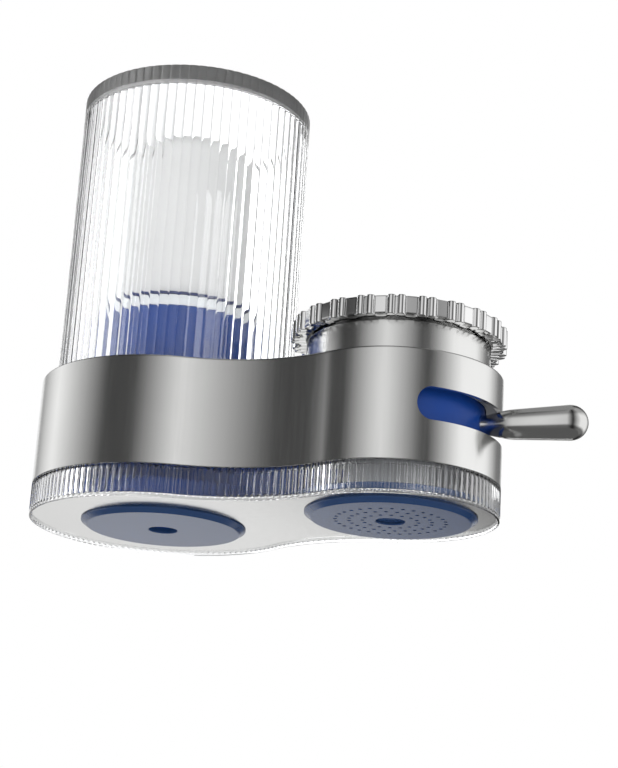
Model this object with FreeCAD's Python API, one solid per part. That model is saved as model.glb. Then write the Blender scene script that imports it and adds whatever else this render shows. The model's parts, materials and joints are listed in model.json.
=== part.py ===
"""Tap-mounted water filter with a clear filter chamber beside a lever diverter valve.

Millimetres, +Z up. The origin is the mouth of the threaded socket that takes the tap, on the
valve's axis. The filter chamber stands on a parallel axis at -X, the lever points to +X, and
-Y is the side that the user sees.
"""
import FreeCAD, Part
import math
import os

os.makedirs("parts", exist_ok=True)

V = FreeCAD.Vector
Z = V(0, 0, 1)

# Plan outline: two round lobes joined by two hollow arcs
lobe_pitch = 71.0
filter_lobe_radius = 39.0
valve_lobe_radius = 30.0
waist_radius = 50.0

# Heights of the outside, from the top down
nut_height = 5.5
nut_gap = 0.1
collar_height = 8.8
shell_height = 31.2
skirt_height = 9.2
cover_height = 91.4

# Clearances
turning_gap = 0.3
face_gap = 0.05
seat_gap = 0.1
cup_gap = 0.5
valve_gap = 0.4
cut_margin = 3.0

# Housing shell
shell_wall = 1.2
deck_thickness = 2.0
shell_edge_radius = 0.6
slot_height = 9.2
slot_drop = 29.5
slot_half_angle = 57.7
window_margin = 1.5

# Clear skirt and its reeds
skirt_wall = 2.0
skirt_rim_height = 1.6
skirt_reed_pitch = 2.0
skirt_reed_height = 0.35
skirt_lip_height = 3.4
skirt_lip_wall = 1.0

# Base plate and the two outlet discs
plate_thickness = 1.3
plate_recess = 0.7
plate_edge_radius = 0.5
plate_margin = 4.0
disc_taper = 2.6
disc_drop = 1.5
disc_edge_radius = 0.5
disc_clip_step = 2.3
disc_clip_wall = 1.5
disc_clip_height = 3.2
outlet_hole_radius = 4.2
dimple_radius = 4.1
dimple_depth = 1.0
spray_hole_radius = 0.55
spray_ring_count = 3
spray_ring_spacing = 4.1
spray_edge_margin = 5.4
spray_outer_holes = 24
spray_fewer_holes = 6
spray_face_thickness = disc_drop

# Collar and the threaded neck that the nut screws on
collar_setback = 3.9
collar_edge_radius = 0.5
collar_flange_width = 2.1
collar_flange_thickness = 1.2
neck_step = 2.1
neck_wall = 2.7
neck_groove_depth = 0.5

# Union nut
nut_wall = 5.7
nut_rib_height = 1.0
nut_rib_valley = 0.5
nut_rib_shoulders = (0.3, 0.7)
nut_grips = 22
nut_flat_share = 0.52
nut_lip_thickness = 1.9

# Tap adapter and what it holds
tap_thread_radius = 11.0
tap_thread_length = 8.0
adapter_wall = 2.5
adapter_flange_thickness = 2.0
adapter_floor = 1.5
adapter_hole_radius = 8.0
washer_lap = 0.2
washer_thickness = 1.9
screen_thickness = 0.6
screen_cell = 2.3
screen_bar = 0.9
relief_gap = 0.2
slip_ring_thickness = 0.6
adapter_seal_thickness = 1.5
adapter_seal_margin = 1.2

# Diverter valve
valve_wall = 3.1
valve_floor = 3.0
rotor_passage_radius = 7.5
rotor_neck_radius = 11.0
rotor_neck_height = 4.7
rotor_wall = 8.0
rotor_roof = 4.1
port_radius = 3.5
port_circle_radius = 13.0
filter_port_angle = 180.0
spray_port_angle = 126.0
seal_section_radius = 0.8
channel_radius = 2.8
spray_chamber_wall = 2.6
boss_step = 1.5

# Lever
lever_angle = 5.2
lever_lift = 0.6
lever_length = 19.4
lever_tip_radius = 4.93
lever_root_radius = 4.17
lever_neck_radius = 2.85
lever_shoulder_gap = 0.6
lever_flare_length = 1.6
lever_screw_depth = 6.5

# Filter chamber body
cup_wall = 2.8
bridge_half_width = 14.0
spigot_socket_radius = 8.0
spigot_socket_depth = 8.0
link_spigot_radius = 3.8
link_spigot_length = 5.0
riser_margin = 3.7

# Clear cover
cover_step = 0.8
cover_wall = 2.6
cover_top_thickness = 4.8
cover_reeds = 72
cover_reed_height = 0.3
cover_reed_profile = ((0.0, 0.0), (0.22, 0.8), (0.5, 1.0), (0.78, 0.8))
cover_bevel = 0.9
cover_seal_radius = 0.9

# Filter cartridge
cap_gap = 1.3
cap_wall = 2.2
cap_floor = 4.0
cap_top_height = 20.6
cartridge_ring_width = 3.0
cartridge_ring_height = 3.4
gasket_width = 3.3
gasket_height = 0.8
candle_radius = 18.5
candle_wall = 6.5
candle_top_gap = 5.0
candle_dome_height = 8.0
candle_shoulder_radius = 6.0
core_gap = 0.3
core_top_gap = 6.0
spigot_gap = 0.4
spigot_hole_radius = 4.0

# Levels, worked out from the heights above
mouth = 0.0
nut_bottom = mouth - nut_height
collar_top = nut_bottom - nut_gap
deck_top = collar_top - collar_height
deck_bottom = deck_top - deck_thickness
shell_bottom = deck_top - shell_height
skirt_bottom = shell_bottom - skirt_height
plate_bottom = skirt_bottom + plate_recess
plate_top = plate_bottom + plate_thickness
disc_face = plate_bottom - disc_drop
clip_top = plate_bottom + disc_clip_height
collar_flange_bottom = deck_bottom - collar_flange_thickness
slot_level = mouth - slot_drop
lever_level = slot_level + lever_lift
skirt_lip_top = shell_bottom + skirt_lip_height
valve_underside = skirt_lip_top + seat_gap
valve_floor_top = valve_underside + valve_floor
rotor_bottom = valve_floor_top + turning_gap
rotor_top = collar_flange_bottom - turning_gap
rotor_chamber_bottom = rotor_bottom + valve_floor
channel_level = (clip_top + valve_underside) / 2.0
slip_ring_top = mouth - nut_lip_thickness - face_gap
slip_ring_bottom = slip_ring_top - slip_ring_thickness
adapter_flange_top = slip_ring_bottom - face_gap
adapter_flange_bottom = adapter_flange_top - adapter_flange_thickness
adapter_seal_top = adapter_flange_bottom - face_gap
collar_seat = adapter_seal_top - adapter_seal_thickness
neck_top = mouth - nut_lip_thickness - turning_gap
thread_bottom = mouth - tap_thread_length
washer_top = thread_bottom - face_gap
washer_bottom = washer_top - washer_thickness
screen_bottom = washer_bottom - screen_thickness
adapter_bottom = screen_bottom - adapter_floor
adapter_pocket_bottom = adapter_bottom - turning_gap
cover_top = deck_top + cover_height
cover_ceiling = cover_top - cover_top_thickness
cover_reed_bottom = deck_bottom + seat_gap
cup_floor_top = valve_floor_top
cover_seal_level = cup_floor_top + face_gap + cover_seal_radius
cover_bottom = cover_seal_level + cover_seal_radius + face_gap
cap_bottom = cup_floor_top
cap_top = deck_top + cap_top_height
ring_top = cap_top + cartridge_ring_height
gasket_top = ring_top + gasket_height
candle_bottom = cap_bottom + cap_floor
candle_top = cover_ceiling - candle_top_gap

# Radii and places that follow from others
filter_x = -lobe_pitch
collar_radius = valve_lobe_radius - collar_setback
collar_flange_radius = collar_radius + collar_flange_width
neck_radius = collar_radius - neck_step
nut_bore_radius = neck_radius + turning_gap
nut_flat_radius = nut_bore_radius + nut_wall
nut_rib_root = nut_flat_radius + nut_rib_valley
nut_rib_radius = nut_flat_radius + nut_rib_height
adapter_radius = tap_thread_radius + adapter_wall
adapter_bore_radius = adapter_radius + turning_gap
adapter_seal_hole_radius = adapter_bore_radius + adapter_seal_margin
adapter_flange_radius = neck_radius - neck_wall - turning_gap
washer_radius = tap_thread_radius + washer_lap
washer_hole_radius = adapter_hole_radius + washer_lap
relief_radius = washer_radius + relief_gap
nut_hole_radius = adapter_radius + turning_gap * 2
rotor_neck_bore = rotor_neck_radius + turning_gap
valve_wall_outer = valve_lobe_radius - shell_wall - valve_gap
valve_bore_radius = valve_wall_outer - valve_wall
rotor_radius = valve_bore_radius - turning_gap
rotor_chamber_radius = rotor_radius - rotor_wall
lever_reach = valve_lobe_radius + lever_length
cup_radius = filter_lobe_radius - shell_wall - cup_gap
cup_bore_radius = cup_radius - cup_wall
inlet_riser_offset = cup_bore_radius - channel_radius - riser_margin
cover_thread_radius = cup_bore_radius - turning_gap
cover_radius = cover_thread_radius + cover_step
cover_opening_radius = cover_radius + turning_gap
cover_bore_radius = cover_radius - cover_wall
cap_radius = candle_radius + cap_gap + cap_wall
cartridge_ring_radius = candle_radius + cartridge_ring_width
gasket_radius = candle_radius + gasket_width
spigot_radius = spigot_socket_radius - spigot_gap
disc_root_radius = valve_lobe_radius - skirt_wall - plate_margin
disc_face_radius = disc_root_radius - disc_taper
disc_clip_radius = disc_root_radius - disc_clip_step
clip_bore_radius = disc_clip_radius - disc_clip_wall
boss_radius = disc_root_radius - boss_step
boss_foot_radius = clip_bore_radius - seat_gap
spray_chamber_radius = boss_foot_radius - spray_chamber_wall
spray_outer_radius = disc_face_radius - spray_edge_margin
slot_end_radius = slot_height / 2.0
slot_end_angle = slot_half_angle - math.degrees(slot_end_radius / valve_lobe_radius)
plate_inset = skirt_wall + seat_gap


def polar(radius, degrees, level=0.0, centre_x=0.0):
    """Point at a radius and angle about a vertical axis at centre_x."""
    angle = math.radians(degrees)
    return V(centre_x + radius * math.cos(angle), radius * math.sin(angle), level)


def cylinder(radius, bottom, top, centre_x=0.0):
    return Part.makeCylinder(radius, top - bottom, V(centre_x, 0, bottom), Z)


def tube(outer, inner, bottom, top, centre_x=0.0):
    return cylinder(outer, bottom, top, centre_x).cut(cylinder(inner, bottom, top, centre_x))


def turned(profile, centre_x=0.0):
    """Solid of revolution from (radius, level) points listed round the section."""
    points = [V(centre_x + radius, 0, level) for radius, level in profile]
    section = Part.Face(Part.makePolygon(points + points[:1]))
    return section.revolve(V(centre_x, 0, 0), Z, 360)


def cut_seal(radius, half_section, level, centre=(0.0, 0.0)):
    """Square-cut sealing ring, given by the middle of its section."""
    place = V(centre[0], centre[1], level - half_section)
    outer = Part.makeCylinder(radius + half_section, 2 * half_section, place, Z)
    return outer.cut(Part.makeCylinder(radius - half_section, 2 * half_section, place, Z))


def joined(shapes):
    result = shapes[0]
    for shape in shapes[1:]:
        result = result.fuse(shape)
    return result.removeSplitter()


def radial_rod(radius, start, end, degrees, level):
    """Round rod that lies along a radius of the valve axis."""
    direction = polar(1.0, degrees)
    return Part.makeCylinder(radius, end - start, polar(start, degrees, level), direction)


def ring_sector(outer, inner, bottom, top, half_angle):
    """Sector of a ring about the valve axis, centred on +X."""
    profile = [V(inner, 0, bottom), V(outer, 0, bottom), V(outer, 0, top), V(inner, 0, top)]
    section = Part.Face(Part.makePolygon(profile + profile[:1]))
    section.rotate(V(0, 0, 0), Z, -half_angle)
    return section.revolve(V(0, 0, 0), Z, 2 * half_angle)


def waist_centre():
    """Centre of the hollow arc on the +Y side, tangent to both lobes."""
    to_filter = filter_lobe_radius + waist_radius
    to_valve = valve_lobe_radius + waist_radius
    x = (to_filter ** 2 - to_valve ** 2 - lobe_pitch ** 2) / (2 * lobe_pitch)
    return x, math.sqrt(to_valve ** 2 - x ** 2)


def outline_arcs(inset):
    """The four arcs of the plan outline, anticlockwise: centre, radius, start, sweep, side.

    side is +1 where the outline bulges away from the arc's centre, and -1 at the waist.
    """
    wx, wy = waist_centre()
    filter_tangent = math.degrees(math.atan2(wy, wx - filter_x))
    valve_tangent = math.degrees(math.atan2(wy, wx))
    waist_start = valve_tangent - 180.0
    waist_end = filter_tangent - 180.0
    hollow = waist_radius + inset
    return [
        ((0.0, 0.0), valve_lobe_radius - inset, -valve_tangent, 2 * valve_tangent, 1),
        ((wx, wy), hollow, waist_start, waist_end - waist_start, -1),
        ((filter_x, 0.0), filter_lobe_radius - inset, filter_tangent, 360 - 2 * filter_tangent, 1),
        ((wx, -wy), hollow, -waist_end, waist_end - waist_start, -1),
    ]


def point_on(centre, radius, degrees, level):
    angle = math.radians(degrees)
    return V(centre[0] + radius * math.cos(angle), centre[1] + radius * math.sin(angle), level)


def outline_face(inset, level):
    """Plan outline moved in by inset, as a flat face."""
    edges = []
    for centre, radius, start, sweep, side in outline_arcs(inset):
        ends = [point_on(centre, radius, start + sweep * share, level) for share in (0, 0.5, 1)]
        edges.append(Part.Arc(*ends).toShape())
    return Part.Face(Part.Wire(Part.__sortEdges__(edges)))


def outline_solid(inset, bottom, top):
    return outline_face(inset, bottom).extrude(V(0, 0, top - bottom))


def prism(points, height):
    """Upright solid over a closed polygon."""
    return Part.Face(Part.makePolygon(points + points[:1])).extrude(V(0, 0, height))


def reeded_outline(bottom, top):
    """Plan outline with its wall drawn as a row of small upright reeds."""
    points = []
    for centre, radius, start, sweep, side in outline_arcs(0.0):
        count = round(math.radians(abs(sweep)) * radius / skirt_reed_pitch)
        valley = radius - side * skirt_reed_height
        for reed in range(count):
            points.append(point_on(centre, valley, start + sweep * reed / count, bottom))
            points.append(point_on(centre, radius, start + sweep * (reed + 0.5) / count, bottom))
    return prism(points, top - bottom)


def slot_cutter(height, half_angle, inner, outer):
    """Round-ended slot through a wall about the valve axis."""
    end_radius = height / 2.0
    cutter = ring_sector(outer, inner, slot_level - end_radius, slot_level + end_radius, half_angle)
    for angle in (-half_angle, half_angle):
        cutter = cutter.fuse(radial_rod(end_radius, inner - cut_margin, outer, angle, slot_level))
    return cutter


def make_housing_shell():
    outer = outline_solid(0.0, shell_bottom, deck_top)
    top_edges = [e for e in outer.Edges if abs(e.CenterOfMass.z - deck_top) < 1e-6]
    outer = outer.makeFillet(shell_edge_radius, top_edges)
    shell = outer.cut(outline_solid(shell_wall, shell_bottom, deck_bottom))
    shell = shell.cut(cylinder(cover_opening_radius, deck_bottom, deck_top, filter_x))
    shell = shell.cut(cylinder(collar_radius + seat_gap, deck_bottom, deck_top))
    inner = valve_lobe_radius - shell_wall - cut_margin
    outer = valve_lobe_radius + cut_margin
    return shell.cut(slot_cutter(slot_height, slot_end_angle, inner, outer))


def make_base_skirt():
    rim_top = skirt_bottom + skirt_rim_height
    rim = outline_solid(skirt_reed_height, skirt_bottom, rim_top)
    band = rim.fuse(reeded_outline(rim_top, shell_bottom))
    lip = outline_solid(shell_wall + seat_gap, shell_bottom, skirt_lip_top)
    band = band.fuse(lip)
    band = band.cut(outline_solid(skirt_wall, skirt_bottom, shell_bottom - skirt_lip_wall))
    bore = outline_solid(shell_wall + seat_gap + skirt_lip_wall,
                         shell_bottom - skirt_lip_wall, skirt_lip_top)
    return band.cut(bore)


def make_base_plate():
    plate = outline_solid(plate_inset, plate_bottom, plate_top)
    low_edges = [e for e in plate.Edges if abs(e.CenterOfMass.z - plate_bottom) < 1e-6]
    plate = plate.makeFillet(plate_edge_radius, low_edges)
    for centre_x in (0.0, filter_x):
        hole = cylinder(disc_clip_radius + seat_gap, plate_bottom, plate_top, centre_x)
        plate = plate.cut(hole)
    return plate


def outlet_disc(centre_x):
    """Button with a tapered wall, and the clip ring that holds it to the boss above."""
    head_top = plate_bottom
    head = turned([(0, disc_face), (disc_face_radius, disc_face),
                   (disc_root_radius, head_top), (0, head_top)], centre_x)
    rim = [e for e in head.Edges if abs(e.CenterOfMass.z - disc_face) < 1e-6
           and e.Length > disc_face_radius]
    head = head.makeFillet(disc_edge_radius, rim)
    clip = tube(disc_clip_radius, clip_bore_radius, head_top, clip_top, centre_x)
    return head.fuse(clip)


def make_filtered_outlet_disc():
    disc = outlet_disc(filter_x)
    return disc.cut(cylinder(outlet_hole_radius, disc_face, plate_bottom, filter_x))


def make_spray_disc():
    disc = outlet_disc(0.0)
    disc = disc.cut(cylinder(dimple_radius, disc_face, disc_face + dimple_depth))
    holes = []
    for ring in range(spray_ring_count):
        ring_radius = spray_outer_radius - spray_ring_spacing * ring
        count = spray_outer_holes - spray_fewer_holes * ring
        for hole in range(count):
            place = polar(ring_radius, 360.0 * hole / count, disc_face)
            corners = [place + polar(spray_hole_radius, side * 60.0) for side in range(6)]
            holes.append(prism(corners, spray_face_thickness))
    return disc.cut(Part.makeCompound(holes))


def make_collar():
    """Plated neck: flange under the deck, plain band above it, then the nut's thread."""
    collar = turned([(0, collar_flange_bottom), (collar_flange_radius, collar_flange_bottom),
                     (collar_flange_radius, deck_bottom), (collar_radius, deck_bottom),
                     (collar_radius, collar_top - collar_edge_radius),
                     (collar_radius - collar_edge_radius, collar_top),
                     (neck_radius - neck_groove_depth, collar_top),
                     (neck_radius - neck_groove_depth, collar_top + neck_groove_depth),
                     (neck_radius, collar_top + 2 * neck_groove_depth),
                     (neck_radius, neck_top), (0, neck_top)])
    seat = cylinder(adapter_flange_radius + turning_gap, collar_seat, neck_top)
    pocket = cylinder(adapter_bore_radius, adapter_pocket_bottom, collar_seat)
    bore = cylinder(rotor_neck_bore, collar_flange_bottom, adapter_pocket_bottom)
    return collar.cut(seat).cut(pocket).cut(bore)


def make_union_nut():
    """Ring nut whose rim has pairs of rounded grip ribs between flats."""
    pitch = 360.0 / nut_grips
    rib_span = pitch * (1 - nut_flat_share) / 2.0
    points = []
    for grip in range(nut_grips):
        flat_start = pitch * grip
        flat_end = flat_start + pitch * nut_flat_share
        points.append(polar(nut_flat_radius, flat_start, nut_bottom))
        points.append(polar(nut_flat_radius, flat_end, nut_bottom))
        for rib in range(2):
            rib_start = flat_end + rib_span * rib
            points.append(polar(nut_rib_root, rib_start, nut_bottom))
            for share in nut_rib_shoulders:
                points.append(polar(nut_rib_radius, rib_start + rib_span * share, nut_bottom))
        points.append(polar(nut_rib_root, flat_start + pitch, nut_bottom))
    rim = prism(points, nut_height)
    lip_bottom = mouth - nut_lip_thickness
    rim = rim.cut(cylinder(nut_bore_radius, nut_bottom, lip_bottom))
    return rim.cut(cylinder(nut_hole_radius, lip_bottom, mouth))


def make_slip_ring():
    return tube(adapter_flange_radius, nut_hole_radius + turning_gap,
                slip_ring_bottom, slip_ring_top)


def make_tap_adapter():
    body = cylinder(adapter_radius, adapter_bottom, mouth)
    flange = cylinder(adapter_flange_radius, adapter_flange_bottom, adapter_flange_top)
    body = body.fuse(flange)
    body = body.cut(cylinder(tap_thread_radius, thread_bottom, mouth))
    body = body.cut(cylinder(relief_radius, screen_bottom, thread_bottom))
    return body.cut(cylinder(adapter_hole_radius, adapter_bottom, screen_bottom))


def make_inlet_washer():
    return tube(washer_radius, washer_hole_radius, washer_bottom, washer_top)


def make_inlet_screen():
    """Strainer: a thin disc with a square grid of openings."""
    screen = cylinder(washer_radius, screen_bottom, washer_bottom)
    pitch = screen_cell + screen_bar
    reach = int(adapter_hole_radius // pitch)
    cells = []
    for column in range(-reach, reach + 1):
        for row in range(-reach, reach + 1):
            corner = V(column * pitch - screen_cell / 2.0, row * pitch - screen_cell / 2.0,
                       screen_bottom)
            cells.append(Part.makeBox(screen_cell, screen_cell, screen_thickness, corner))
    return screen.cut(Part.makeCompound(cells))


def make_adapter_seal():
    return tube(adapter_flange_radius, adapter_seal_hole_radius, collar_seat, adapter_seal_top)


def make_valve_body():
    """Fixed valve chamber: windowed wall, floor with two ports, and the spray outlet boss."""
    body = joined([
        cylinder(valve_wall_outer, valve_underside, collar_flange_bottom),
        cylinder(boss_radius, clip_top + seat_gap, valve_underside),
        cylinder(boss_foot_radius, plate_bottom + seat_gap, clip_top + seat_gap),
    ])
    body = body.cut(cylinder(valve_bore_radius, valve_floor_top, collar_flange_bottom))
    window_height = slot_height + 2 * window_margin
    window = slot_cutter(window_height, slot_end_angle, valve_bore_radius - cut_margin,
                         valve_wall_outer + cut_margin)
    body = body.cut(window)
    filter_port = polar(port_circle_radius, filter_port_angle, channel_level)
    spray_port = polar(port_circle_radius, spray_port_angle, plate_top)
    body = body.cut(Part.makeCylinder(port_radius, valve_floor_top - channel_level, filter_port))
    body = body.cut(Part.makeCylinder(port_radius, valve_floor_top - plate_top, spray_port))
    side_channel = radial_rod(channel_radius, port_circle_radius - port_radius,
                              valve_wall_outer, filter_port_angle, channel_level)
    socket = radial_rod(link_spigot_radius, boss_radius - link_spigot_length,
                        valve_wall_outer, filter_port_angle, channel_level)
    body = body.cut(side_channel).cut(socket)
    body = body.cut(cylinder(spray_chamber_radius, plate_bottom, plate_top + seat_gap))
    for seal in port_seal_places():
        groove = Part.makeCylinder(port_radius + 3 * seal_section_radius, seal_section_radius,
                                   V(seal.x, seal.y, valve_floor_top - seal_section_radius), Z)
        body = body.cut(groove)
    return body


def port_seal_places():
    return [polar(port_circle_radius, angle, valve_floor_top)
            for angle in (filter_port_angle, spray_port_angle)]


def make_port_seals():
    radius = port_radius + 2 * seal_section_radius
    seals = [cut_seal(radius, seal_section_radius, valve_floor_top, (place.x, place.y))
             for place in port_seal_places()]
    trim = cylinder(valve_bore_radius, rotor_bottom - face_gap, rotor_bottom + valve_floor)
    return Part.makeCompound([seal.cut(trim) for seal in seals])


def make_valve_rotor():
    """Drum that the lever turns: inlet neck, water chamber and one port in its floor."""
    rotor = joined([cylinder(rotor_radius, rotor_bottom, rotor_top),
                    cylinder(rotor_neck_radius, rotor_top, rotor_top + rotor_neck_height)])
    rotor = rotor.cut(cylinder(rotor_passage_radius, rotor_top - rotor_roof,
                               rotor_top + rotor_neck_height))
    rotor = rotor.cut(cylinder(rotor_chamber_radius, rotor_chamber_bottom,
                               rotor_top - rotor_roof))
    port = polar(port_circle_radius, filter_port_angle, rotor_bottom)
    rotor = rotor.cut(Part.makeCylinder(port_radius, valve_floor, port))
    rotor = rotor.cut(radial_rod(lever_neck_radius + face_gap, rotor_radius - lever_screw_depth,
                                 rotor_radius, lever_angle, lever_level))
    groove_level = rotor_seal_level()
    groove = tube(rotor_neck_radius, rotor_seal_radius() - seal_section_radius,
                  groove_level - seal_section_radius, groove_level + seal_section_radius)
    return rotor.cut(groove)


def rotor_seal_level():
    return rotor_top + rotor_neck_height / 2.0


def rotor_seal_radius():
    """Middle radius of the seal, just clear of the bore that it runs in."""
    return rotor_neck_bore - turning_gap / 2.0 - seal_section_radius


def make_rotor_seal():
    return cut_seal(rotor_seal_radius(), seal_section_radius, rotor_seal_level())


def make_lever():
    """Turned rod: screwed end, thin neck in the slot, then a taper that swells to a round tip."""
    root = valve_lobe_radius + lever_shoulder_gap
    flare_end = root + lever_flare_length
    screw_start = rotor_radius - lever_screw_depth
    tip = lever_reach
    lines = [V(screw_start, 0, 0), V(screw_start, lever_neck_radius, 0),
             V(root, lever_neck_radius, 0), V(flare_end, lever_root_radius, 0),
             V(tip, lever_tip_radius, 0)]
    half = math.sqrt(0.5) * lever_tip_radius
    dome = Part.Arc(lines[-1], V(tip + half, half, 0), V(tip + lever_tip_radius, 0, 0)).toShape()
    edges = [Part.makeLine(a, b) for a, b in zip(lines, lines[1:])]
    edges += [dome, Part.makeLine(V(tip + lever_tip_radius, 0, 0), lines[0])]
    section = Part.Face(Part.Wire(Part.__sortEdges__(edges)))
    lever = section.revolve(V(0, 0, 0), V(1, 0, 0), 360)
    lever.rotate(V(0, 0, 0), Z, lever_angle)
    lever.translate(V(0, 0, lever_level))
    return lever


def make_water_chassis():
    """Blue moulding of the filter side: threaded cup, outlet boss and the bridge to the valve."""
    cup = cylinder(cup_radius, valve_underside, deck_bottom, filter_x)
    boss = cylinder(boss_radius, clip_top + seat_gap, valve_underside, filter_x)
    foot = cylinder(boss_foot_radius, plate_bottom + seat_gap, clip_top + seat_gap, filter_x)
    bridge_end = -boss_radius - seat_gap
    bridge_bottom = clip_top + seat_gap
    bridge = Part.makeBox(bridge_end - filter_x, 2 * bridge_half_width,
                          valve_underside - bridge_bottom,
                          V(filter_x, -bridge_half_width, bridge_bottom))
    bridge = bridge.cut(cylinder(boss_radius + seat_gap, bridge_bottom, valve_underside))
    spigot_tip = -boss_radius + link_spigot_length - seat_gap
    spigot = Part.makeCylinder(link_spigot_radius - seat_gap, spigot_tip - filter_x,
                               V(filter_x, 0, channel_level), V(1, 0, 0))
    body = joined([cup, boss, foot, bridge, spigot])
    body = body.cut(cylinder(cup_bore_radius, cup_floor_top, deck_bottom, filter_x))
    riser_x = filter_x + inlet_riser_offset
    channel = Part.makeCylinder(channel_radius, spigot_tip - riser_x, V(riser_x, 0, channel_level),
                                V(1, 0, 0))
    riser = Part.makeCylinder(channel_radius, cup_floor_top - channel_level,
                              V(riser_x, 0, channel_level), Z)
    socket = cylinder(spigot_socket_radius, cup_floor_top - spigot_socket_depth, cup_floor_top,
                      filter_x)
    outlet = cylinder(outlet_hole_radius, plate_bottom, cup_floor_top, filter_x)
    return body.cut(channel).cut(riser).cut(socket).cut(outlet)


def make_cartridge_cover():
    """Clear cup: reeded wall with a bevelled top edge, and a plain threaded foot below."""
    points = []
    pitch = 360.0 / cover_reeds
    for reed in range(cover_reeds):
        for share, rise in cover_reed_profile:
            radius = cover_radius - cover_reed_height * (1 - rise)
            points.append(polar(radius, pitch * (reed + share), cover_reed_bottom, filter_x))
    reeded = prism(points, cover_top - cover_reed_bottom)
    beyond = cover_radius + cut_margin
    envelope = turned([(0, cover_reed_bottom), (beyond, cover_reed_bottom),
                       (beyond, cover_top - cover_bevel - cut_margin),
                       (cover_radius - cover_bevel, cover_top), (0, cover_top)], filter_x)
    cover = reeded.common(envelope)
    cover = cover.fuse(cylinder(cover_thread_radius, cover_bottom, cover_reed_bottom, filter_x))
    return cover.cut(cylinder(cover_bore_radius, cover_bottom, cover_ceiling, filter_x))


def make_cover_seal():
    return cut_seal(cover_thread_radius - cover_seal_radius, cover_seal_radius, cover_seal_level,
                  (filter_x, 0.0))


def make_cartridge_cap():
    """Blue cup that the candle is set in, with a spigot for the filtered water."""
    spigot_bottom = cap_bottom - spigot_socket_depth + seat_gap
    cap = joined([cylinder(cap_radius, cap_bottom, cap_top, filter_x),
                  cylinder(spigot_radius, spigot_bottom, cap_bottom, filter_x)])
    cap = cap.cut(cylinder(cap_radius - cap_wall, candle_bottom, cap_top, filter_x))
    cap = cap.cut(cylinder(spigot_hole_radius, spigot_bottom, candle_bottom, filter_x))
    groove = tube(spigot_radius, spigot_seal_radius() - seal_section_radius,
                  spigot_seal_level() - seal_section_radius,
                  spigot_seal_level() + seal_section_radius, filter_x)
    return cap.cut(groove)


def spigot_seal_level():
    return cap_bottom - spigot_socket_depth / 2.0


def spigot_seal_radius():
    return spigot_socket_radius - face_gap - seal_section_radius


def make_spigot_seal():
    return cut_seal(spigot_seal_radius(), seal_section_radius, spigot_seal_level(),
                  (filter_x, 0.0))


def make_cartridge_ring():
    inner = candle_radius + seat_gap
    return tube(cartridge_ring_radius, inner, cap_top, ring_top, filter_x)


def make_cartridge_gasket():
    return tube(gasket_radius, candle_radius + seat_gap, ring_top, gasket_top, filter_x)


def make_ceramic_candle():
    """Hollow ceramic candle with a crowned end and a rounded shoulder."""
    crown_radius = (candle_radius ** 2 + candle_dome_height ** 2) / (2 * candle_dome_height)
    crown = Part.makeSphere(crown_radius, V(filter_x, 0, candle_top - crown_radius))
    shoulder = candle_top - candle_dome_height
    candle = cylinder(candle_radius, candle_bottom, candle_top, filter_x)
    below = cylinder(candle_radius, candle_bottom, shoulder - candle_radius / 2.0, filter_x)
    candle = candle.common(crown).fuse(below).removeSplitter()
    shoulder_edges = [e for e in candle.Edges if abs(e.CenterOfMass.z - shoulder) < 1e-6
                      and e.Length > candle_radius]
    candle = candle.makeFillet(candle_shoulder_radius, shoulder_edges)
    hollow_top = shoulder - core_top_gap + core_gap
    return candle.cut(cylinder(candle_radius - candle_wall, candle_bottom, hollow_top, filter_x))


def make_carbon_core():
    top = candle_top - candle_dome_height - core_top_gap
    return cylinder(candle_radius - candle_wall - core_gap, candle_bottom, top, filter_x)


sub_parts = {
    "housing_shell": make_housing_shell,
    "base_skirt": make_base_skirt,
    "base_plate": make_base_plate,
    "filtered_outlet_disc": make_filtered_outlet_disc,
    "spray_disc": make_spray_disc,
    "collar": make_collar,
    "union_nut": make_union_nut,
    "slip_ring": make_slip_ring,
    "tap_adapter": make_tap_adapter,
    "inlet_washer": make_inlet_washer,
    "inlet_screen": make_inlet_screen,
    "adapter_seal": make_adapter_seal,
    "valve_body": make_valve_body,
    "port_seals": make_port_seals,
    "valve_rotor": make_valve_rotor,
    "rotor_seal": make_rotor_seal,
    "lever": make_lever,
    "water_chassis": make_water_chassis,
    "cartridge_cover": make_cartridge_cover,
    "cover_seal": make_cover_seal,
    "cartridge_cap": make_cartridge_cap,
    "spigot_seal": make_spigot_seal,
    "cartridge_ring": make_cartridge_ring,
    "cartridge_gasket": make_cartridge_gasket,
    "ceramic_candle": make_ceramic_candle,
    "carbon_core": make_carbon_core,
}

for node, make in sub_parts.items():
    shape = make()
    print(node, "solids", len(shape.Solids), "valid", shape.isValid(),
          "cm3", round(shape.Volume / 1000.0, 3))
    shape.exportStep("parts/" + node + ".step")
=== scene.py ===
"""Looks of the tap-mounted water filter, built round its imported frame.

Metres, +Z up, in the frame of the part: the valve's axis is the Z axis, the filter chamber
stands on a parallel axis at -X, the lever points to +X and the user looks along +Y.
"""
import json
import math

import bmesh
import bpy
from mathutils import Matrix, Vector


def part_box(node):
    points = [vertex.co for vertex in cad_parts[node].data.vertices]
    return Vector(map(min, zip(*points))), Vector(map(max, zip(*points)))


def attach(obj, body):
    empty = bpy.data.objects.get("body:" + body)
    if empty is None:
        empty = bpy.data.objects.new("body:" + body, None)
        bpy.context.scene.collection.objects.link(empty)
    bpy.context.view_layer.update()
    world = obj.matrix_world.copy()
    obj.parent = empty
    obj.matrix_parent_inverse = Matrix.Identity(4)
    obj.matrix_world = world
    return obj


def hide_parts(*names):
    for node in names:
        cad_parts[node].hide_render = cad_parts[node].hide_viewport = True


bl_info = {
    "name": "Tap water filter",
    "version": (1, 0, 0),
    "blender": (4, 5, 0),
    "location": "View3D > Sidebar > Water filter",
    "description": "Builds the pieces, finishes and studio of a tap-mounted water filter",
    "category": "Mesh",
}

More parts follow.
